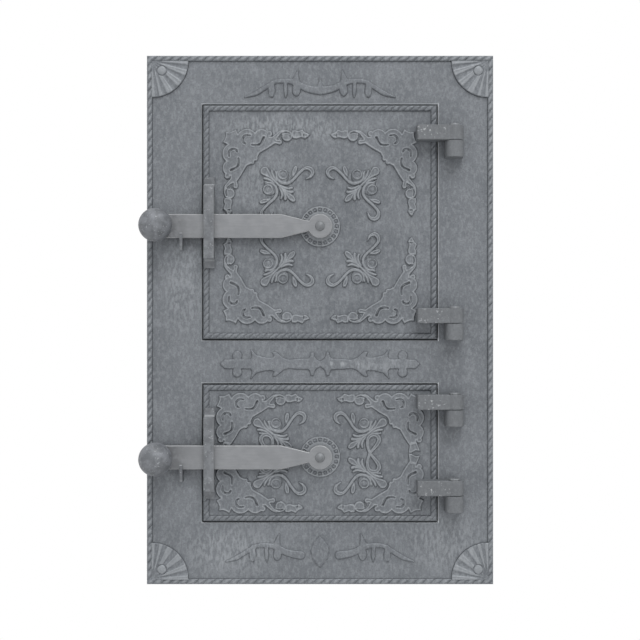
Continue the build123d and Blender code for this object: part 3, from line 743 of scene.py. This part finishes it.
def shell_distance(across, up):
    """Half of the corner piece, above the diagonal. Its body crosses it, so that no seam shows."""
    body = outline_distance(across, up, [
        (58.6, 65.2), (59.2, 63.2), (61.4, 61.4), (76.0, 51.0), (101.0, 76.0), (88.6, 88.6),
        (84.9, 88.3), (81.4, 89.6), (78.9, 91.2), (76.8, 86.6), (43.6, 83.7), (41.7, 78.2),
        (48.8, 73.4), (56.7, 68.9),
    ])
    return merge(
        body,
        disc_distance(across, up, (68.5, 81.8), 9.8),
        disc_distance(across, up, (54.8, 83.7), 7.7),
        disc_distance(across, up, (47.5, 86.9), 2.7),
        disc_distance(across, up, (60.3, 63.5), 1.9),
        blend=0.5,
    )


def slot_distance(across, up):
    """Two crescents in each lobe pair, and the small cuts in the arm."""
    outer = stroke_distance(
        across, up,
        [(65.6, 85.2), (69.4, 85.4), (71.7, 83.9), (72.6, 81.4), (71.8, 78.7), (69.9, 77.7)],
        [0.7, 1.3, 1.4, 1.4, 1.3, 0.8],
    )
    inner = stroke_distance(
        across, up,
        [(63.9, 76.6), (60.6, 76.1), (57.4, 76.6), (54.9, 78.7), (53.6, 81.8), (52.8, 83.4)],
        [0.8, 1.4, 1.5, 1.5, 1.7, 1.9],
    )
    cuts = [
        stroke_distance(across, up, [(34.6, 87.4), (32.0, 88.3), (28.6, 87.4)], [0.5, 0.8, 0.4]),
        stroke_distance(across, up, [(38.9, 83.5), (35.6, 84.9)], [1.1, 0.7]),
        stroke_distance(across, up, [(15.4, 86.2), (15.4, 84.4)], [0.6, 0.9]),
    ]
    return np.minimum.reduce([outer, inner, *cuts])


def arm_distance(across, up):
    """The arm of the corner piece that leads towards the middle."""
    stem = stroke_distance(
        across, up, [(44.2, 80.8), (41.2, 84.6), (36.8, 88.6), (31.1, 89.2)], [5.6, 4.2, 2.8, 2.2]
    )
    curl = stroke_distance(across, up, [(43.4, 80.4), (40.4, 79.4), (37.9, 79.2)], [4.6, 3.8, 4.6])
    volute = disc_distance(across, up, (30.9, 84.9), 5.0)
    leaf = outline_distance(across, up, [
        (26.6, 90.0), (26.6, 84.9), (25.1, 82.7), (21.9, 82.4), (18.3, 83.5), (15.8, 83.5),
        (14.0, 82.4), (11.1, 84.2), (9.7, 86.4), (14.4, 88.5), (16.5, 91.0), (21.0, 89.3),
        (22.6, 90.3),
    ])
    return merge(stem, curl, volute, leaf, blend=0.4)


well_up = 0.8


def cut_slots(height, distance):
    """Sinks crisp slots into a relief and gives each a thin raised lip."""
    lip = 0.42 * np.exp(-(((distance - 0.85) / 0.4) ** 2))
    depth = 1.3 * eased(np.clip((0.2 - distance) / 0.5, 0, 1))
    return np.where(height > well_up, np.maximum(height + lip - depth, 0.15), height)


# %% [markdown]
# Around the pivot stand four sprays. Each has an outer petal, a stem with small leaves, and on both
# sides a volute, a bud and a long scroll that rolls in at its end.


# %% Spray of leaves and scrolls
def spray_leaf_distance(across, up):
    """The petals on the spray's axis and the small leaves on one side of it."""
    petal = stroke_distance(across, up, [(45.0, 45.0), (48.2, 48.2), (51.9, 51.9)], [1.8, 4.4, 8.2])
    stem = stroke_distance(across, up, [(31.0, 31.0), (46.0, 46.0)], [2.0, 2.2])
    inner = stroke_distance(
        across, up, [(32.4, 32.4), (29.4, 29.4), (27.0, 27.0), (24.9, 24.9)], [1.8, 3.6, 5.4, 4.0]
    )
    small = [
        stroke_distance(across, up, points, widths)
        for points, widths in (
            ([(40.6, 42.8), (43.0, 46.2), (44.6, 49.8), (45.2, 52.4)], [1.2, 2.0, 2.2, 1.8]),
            ([(40.9, 46.6), (41.7, 51.3)], [1.0, 1.8]),
            ([(36.6, 38.4), (33.0, 36.4), (29.4, 35.6), (26.3, 36.4)], [1.2, 2.2, 2.2, 2.0]),
            ([(33.7, 34.8), (30.7, 33.1), (28.0, 32.4), (25.8, 32.5)], [1.2, 2.0, 2.4, 2.8]),
        )
    ]
    return merge(petal, stem, inner, *small, blend=0.3)


def spray_scroll_distance(across, up):
    """The volute, the bud and the scroll on one side. The scroll starts around the volute."""
    volute = disc_distance(across, up, (34.8, 48.8), 4.8)
    scroll = stroke_distance(
        across, up,
        [(39.9, 51.4), (41.0, 47.3), (39.4, 43.6), (36.3, 41.3), (32.0, 40.4), (28.8, 41.2),
         (24.8, 44.3), (19.8, 49.9), (15.2, 54.0), (11.6, 55.0), (8.3, 53.4), (7.0, 50.4),
         (9.0, 46.7), (13.2, 44.6)],
        [0.9, 1.9, 2.3, 2.6, 2.8, 2.8, 2.6, 2.6, 2.8, 3.4, 4.0, 3.5, 2.5, 0.9],
    )
    bud = stroke_distance(across, up, [(25.4, 47.4), (24.0, 51.8), (22.9, 55.0)], [1.5, 4.1, 3.4])
    return merge(volute, scroll, bud, blend=0.3)


def spray_height(leaves_across, leaves_up, across, up):
    """A spray: strokes, a volute with a dished groove, and a web between it and the scroll.

    The leaves are drawn on one side of the diagonal only, so their place is given folded.
    """
    leaves = spray_leaf_distance(leaves_across, leaves_up)
    height = carved_height(np.minimum(leaves, spray_scroll_distance(across, up)))
    groove = stroke_distance(
        across, up,
        [(37.1, 50.7), (34.8, 51.8), (32.5, 50.7), (31.8, 48.3), (33.4, 46.4), (35.6, 46.5),
         (36.7, 48.1)],
        [0.8, 1.4, 1.7, 1.7, 1.5, 1.2, 0.6],
    )
    depth = 1.05 * eased(np.clip((0.3 - groove) / 0.6, 0, 1))
    height = np.where(height > well_up, height - depth, height)
    web = carved_height(disc_distance(across, up, (34.5, 46.8), 5.0), top=0.85, hollow=0.0)
    return np.maximum(height, web)


# %% Relief of the tall door
upper_pivot_z = 335.6
upper_relief_reach = 94.0
shell_hollow = 0.42


def upper_door_height(x, z):
    """Four corner pieces and four sprays about the pivot."""
    across, up = fold_on_diagonal(np.abs(x), np.abs(z - upper_pivot_z))
    corner = merge(shell_distance(across, up), arm_distance(across, up), blend=0.5)
    corner = cut_slots(carved_height(corner, hollow=shell_hollow), slot_distance(across, up))
    return np.maximum(corner, spray_height(across, up, across, up))


cast_sheet(
    "upper_door_carving", "upper_door", (-upper_relief_reach, upper_relief_reach),
    (upper_pivot_z - upper_relief_reach, upper_pivot_z + upper_relief_reach),
    carving_step, door_face, upper_door_height,
)

# %% [markdown]
# The low door carries the same motifs drawn together, and mirrored across its own middle, a little
# above the pivot. Its corner pieces are moved outwards and towards that middle, its sprays lean by
# 8.5 degrees, and a knot of two drop-shaped rings joins the two sprays on each side. The upright
# arms are cut short by a fishtail on the middle line.


# %% Relief of the low door
lower_relief_middle = 123.0
lower_relief_half_width, lower_relief_half_height = 101.0, 59.0


def lower_door_height(x, z):
    """Corner pieces, fishtails, leaning sprays and knots, in each quarter alike."""
    across, up = np.abs(x), np.abs(z - lower_relief_middle)
    corner_across, corner_up = across - 6.1, up + 34.9
    folded = fold_on_diagonal(corner_across, corner_up)
    corner = merge(shell_distance(*folded), arm_distance(corner_across, corner_up), blend=0.5)
    slots = np.minimum(slot_distance(*folded), slot_distance(corner_across, corner_up))
    corner = cut_slots(carved_height(corner, hollow=shell_hollow), slots)
    fishtail = outline_distance(
        across, up, [(84.4, 10.3), (90.6, 10.3), (93.9, 1.9), (89.8, 2.7), (85.7, 0.3), (83.0, 0.3)]
    )
    lean = math.radians(8.5)
    moved_across, moved_up = across + 0.2, up + 14.9
    spray_across = moved_across * math.cos(lean) - moved_up * math.sin(lean)
    spray_up = moved_across * math.sin(lean) + moved_up * math.cos(lean)
    spray = spray_height(*fold_on_diagonal(spray_across, spray_up), spray_across, spray_up)
    ring = stroke_distance(
        across, up,
        [(46.9, -0.6), (45.2, 4.5), (44.4, 8.6), (44.8, 12.7), (46.7, 16.0), (50.3, 17.4),
         (53.7, 16.4), (55.4, 13.2), (54.6, 10.0), (52.2, 6.5), (49.3, 3.1), (46.4, -0.6)],
        [2.6, 2.8, 2.9, 3.0, 3.4, 3.6, 3.8, 4.0, 3.8, 3.4, 2.8, 2.6],
    )
    return np.maximum.reduce([corner, spray, carved_height(np.minimum(fishtail, ring))])


cast_sheet(
    "lower_door_carving", "lower_door", (-lower_relief_half_width, lower_relief_half_width),
    (lower_relief_middle - lower_relief_half_height, lower_relief_middle + lower_relief_half_height),
    carving_step, door_face, lower_door_height,
)

# %% [markdown]
# ## Rosettes
# Twenty small pockets, each with a bead in it, lie in a ring under each arm's eye. The angle is
# folded into one pocket's share of the ring, so that one pocket is drawn and twenty appear.

# %% Rosettes around the pivots
lower_pivot_z = 119.8
pocket_count = 20
pocket_circle = 15.6
pocket_half = 2.05
ring_inside, ring_outside = 9.2, 19.3
ring_sheet_reach = 19.5


def rosette_height_at(x, z, pivot_z):
    """A ring with pockets sunk into it, and a bead in each."""
    reach = np.hypot(x, z - pivot_z)
    share = 2 * np.pi / pocket_count
    turn = np.arctan2(z - pivot_z, x)
    turn = turn - share * np.round(turn / share)
    along, out = reach * np.sin(turn), reach * np.cos(turn) - pocket_circle
    wall = (along**4 + out**4) ** 0.25 - pocket_half
    sunk = np.clip(-wall / 0.5, 0, 1)
    bead = np.clip(1.5 - np.hypot(along, out), 0, 1)
    height = 1.75 - 0.8 * eased(sunk) + 0.7 * bead
    height = height * np.clip((ring_outside - reach) / 0.5, -0.2, 1)
    return np.where(reach > ring_inside, height, below_face)


for door, pivot_z in (("upper_door", upper_pivot_z), ("lower_door", lower_pivot_z)):
    cast_sheet(
        f"{door}_rosette", door, (-ring_sheet_reach, ring_sheet_reach),
        (pivot_z - ring_sheet_reach, pivot_z + ring_sheet_reach), rosette_step, door_face,
        lambda x, z: rosette_height_at(x, z, pivot_z),
    )

# %% [markdown]
# ## Vines, frieze and fans on the frame
# The plate carries a vine above the tall door and a shorter pair at the foot, with drips and a
# thorn, and a frieze between the doors. A pleated fan fills each corner, with a round button where
# the pleats meet.


# %% Vines and frieze
def vine_distance(along, up, nib):
    """A branch from its tip at the origin to the joined end."""
    spine = stroke_distance(
        along, up,
        [(0.0, 0.3), (10.1, 3.9), (18.3, 8.9), (27.9, 14.6), (38.0, 15.6), (47.5, 13.6),
         (58.1, 8.4), (70.4, 6.2)],
        [0.8, 3.6, 3.6, 3.4, 3.8, 4.6, 5.9, 7.1],
    )
    drips = merge(
        stroke_distance(along, up, [(25.2, 14.0), (25.1, 6.0), (25.0, 2.4)], [3.0, 6.2, 4.0]),
        stroke_distance(along, up, [(37.8, 14.5), (38.2, 6.0), (38.3, 0.4)], [2.6, 3.4, 0.8]),
        stroke_distance(along, up, [(48.2, 13.0), (48.2, 7.0), (48.1, 4.0)], [3.2, 7.2, 5.0]),
        stroke_distance(along, up, [(47.4, 14.6), (48.4, 20.0), (49.9, 25.8)], [7.0, 3.8, 0.8]),
    )
    branch = merge(spine, drips)
    if nib:
        branch = merge(branch, stroke_distance(along, up, [(70.4, 7.0), (70.4, 18.4)], [6.6, 0.8]))
    return branch


def frieze_distance(across, up):
    """A quarter of the frieze between the doors."""
    edge = outline_distance(across, up, [
        (-9, -9), (93.6, -9), (93.6, 0), (89.6, 4.1), (65.3, 4.3), (63.6, 6.6), (64.7, 13.8),
        (59.7, 8.2), (51.0, 6.0), (44.7, 5.9), (42.8, 7.5), (44.7, 11.0), (41.6, 11.5),
        (34.6, 5.6), (29.2, 3.8), (22.9, 4.6), (11.1, 5.0), (9.2, 6.7), (8.6, 10.4), (6.1, 11.0),
        (5.5, 7.6), (3.7, 4.5), (0, 2.3), (-9, 2.3),
    ])
    return merge(edge, disc_distance(across, up, (77.7, 7.8), 4.3))


# %% Low relief of the frame
vine_length = 70.4
top_vine_z, bottom_vine_z = 456.8, 21.0
bottom_vine_gap = 17.8
frieze_z = 206.7


def low_relief(distance):
    """Lower than the doors' relief and flat on top, so that only its edges catch light."""
    return carved_height(distance, top=1.56, hollow=0.0)


def top_vine_height(x, z):
    return low_relief(vine_distance(vine_length - np.abs(x), z - top_vine_z, nib=True))


def bottom_height(x, z):
    vine = vine_distance(
        vine_length + bottom_vine_gap - np.abs(x), z - bottom_vine_z, nib=False
    )
    lozenge = stroke_distance(x, z, [(0, 16.6), (0, 30.6), (0, 44.6)], [0.8, 16.4, 0.8])
    return low_relief(np.minimum(vine, lozenge))


def frieze_height(x, z):
    return low_relief(frieze_distance(np.abs(x), np.abs(z - frieze_z)))


for ornament, half_width, z_range, height_at in (
    ("top_vine", 74.0, (454.0, 486.0), top_vine_height),
    ("bottom_vines", 92.0, (14.0, 52.0), bottom_height),
    ("middle_frieze", 96.0, (190.0, 223.0), frieze_height),
):
    cast_sheet(
        ornament, "frame", (-half_width, half_width), z_range, carving_step, plate_face, height_at
    )


# %% Fans in the corners
plate_half_width = 162.5
plate_height = 496.0
# The fans start this far from the plate's edge, under the inner edge of the rope.
fan_inset = 5.2
fan_lap = 0.6
fan_side = 35.6
fan_radius = 34.0
fan_valleys = (9.0, 20.0, 40.0, 61.0, 80.0)
button_place = 8.9
button_radius = 4.2


def fan_height(x, z):
    """Pleats with a sharp valley between them and fine ribs on top, and the button they meet in."""
    across = plate_half_width - fan_inset - np.abs(x)
    up = np.minimum(z, plate_height - z) - fan_inset
    reach = np.hypot(across, up)
    angle = np.degrees(np.arctan2(np.maximum(across, 0), np.maximum(up, 1e-6)))
    turns = np.interp(angle, (0.0, *fan_valleys, 90.0), (-0.5, 0.0, 1.0, 2.0, 3.0, 4.0, 4.6))
    pleat = np.abs(np.sin(np.pi * turns))
    ribs = 0.16 * np.cos(6 * np.pi * turns) * np.clip((reach - 12.0) / 10.0, 0, 1)
    height = 1.25 + (1.0 * pleat**0.8 + ribs) * np.clip(reach / 12.0, 0.3, 1.0)
    rim = np.clip((fan_radius + 0.35 - reach) / 0.7, -0.2, 1)
    height = np.where(rim < 1, height * rim, height)
    button = np.hypot(across - button_place, up - button_place)
    dome = 2.7 - 0.6 * (button / button_radius) ** 2
    groove = (button >= button_radius) & (button < 4.9)
    height = np.where(button < button_radius, dome, np.where(groove, 1.22, height))
    in_corner = (across > -fan_lap) & (up > -fan_lap)
    return np.where(in_corner, np.maximum(height, below_face), below_face)


for corner_name, x_side, z_side in (
    ("top_left", -1, 1), ("top_right", 1, 1), ("bottom_left", -1, -1), ("bottom_right", 1, -1),
):
    x_edge = x_side * (plate_half_width - fan_inset + fan_lap)
    z_edge = plate_height - fan_inset + fan_lap if z_side > 0 else fan_inset - fan_lap
    cast_sheet(
        f"{corner_name}_fan", "frame", sorted((x_edge, x_edge - x_side * fan_side)),
        sorted((z_edge, z_edge - z_side * fan_side)), carving_step, plate_face, fan_height,
        rope_irons,
    )

# %% [markdown]
# ## Rope borders
# A twisted rope runs round the plate and round each door. Its section is half round, and its
# strands slope like a stroke of handwriting on all four sides. A strand's place along the rope
# follows from the difference of x and z, so that the pattern turns the corners by itself.


# %% Rope borders
rope_width = 5.6
bead_cover = 0.78


def rope_height_at(x, z, middle, half_sizes, pitch, top):
    """A half-round rope along the inside of a rectangle's edge."""
    from_edge = np.minimum(half_sizes[0] - np.abs(x), half_sizes[1] - np.abs(z - middle))
    across = (from_edge - rope_width / 2) / (rope_width / 2)
    section = np.clip(1 - np.abs(across) ** 3, 0, 1) ** 0.5
    turns = (x - z) / pitch
    from_groove = 2 * np.abs(turns - np.round(turns))
    strand = np.sqrt(np.clip(1 - (1 - from_groove) ** 2, 0, 1))
    height = section * (0.36 + 0.64 * strand) * top
    height = np.where(np.abs(across) < 0.92, np.maximum(height, bead_cover), height)
    return np.where(np.abs(across) < 1.0, height, below_face)


def rope_border(body, middle, half_sizes, pitch, top, casting_face):
    """Four strips of sheet along the sides of a rectangle whose middle is at that height."""
    half_x, half_z = half_sizes
    low, high = middle - half_z, middle + half_z
    sides = {
        "top": ((-half_x, half_x), (high - rope_width, high)),
        "bottom": ((-half_x, half_x), (low, low + rope_width)),
        "left": ((-half_x, -half_x + rope_width), (low + rope_width, high - rope_width)),
        "right": ((half_x - rope_width, half_x), (low + rope_width, high - rope_width)),
    }
    for side, (x_range, z_range) in sides.items():
        cast_sheet(
            f"{body}_rope_{side}", body, x_range, z_range, rope_step, casting_face,
            lambda x, z: rope_height_at(x, z, middle, half_sizes, pitch, top), rope_irons,
        )


plate_middle = plate_height / 2
rope_border("frame", plate_middle, (plate_half_width, plate_middle), 7.9, 2.1, plate_face)
rope_border("upper_door", upper_opening_z, (109.4, 109.5), 6.2, 1.9, door_face)
rope_border("lower_door", lower_opening_z, (109.4, 63.95), 6.2, 1.9, door_face)
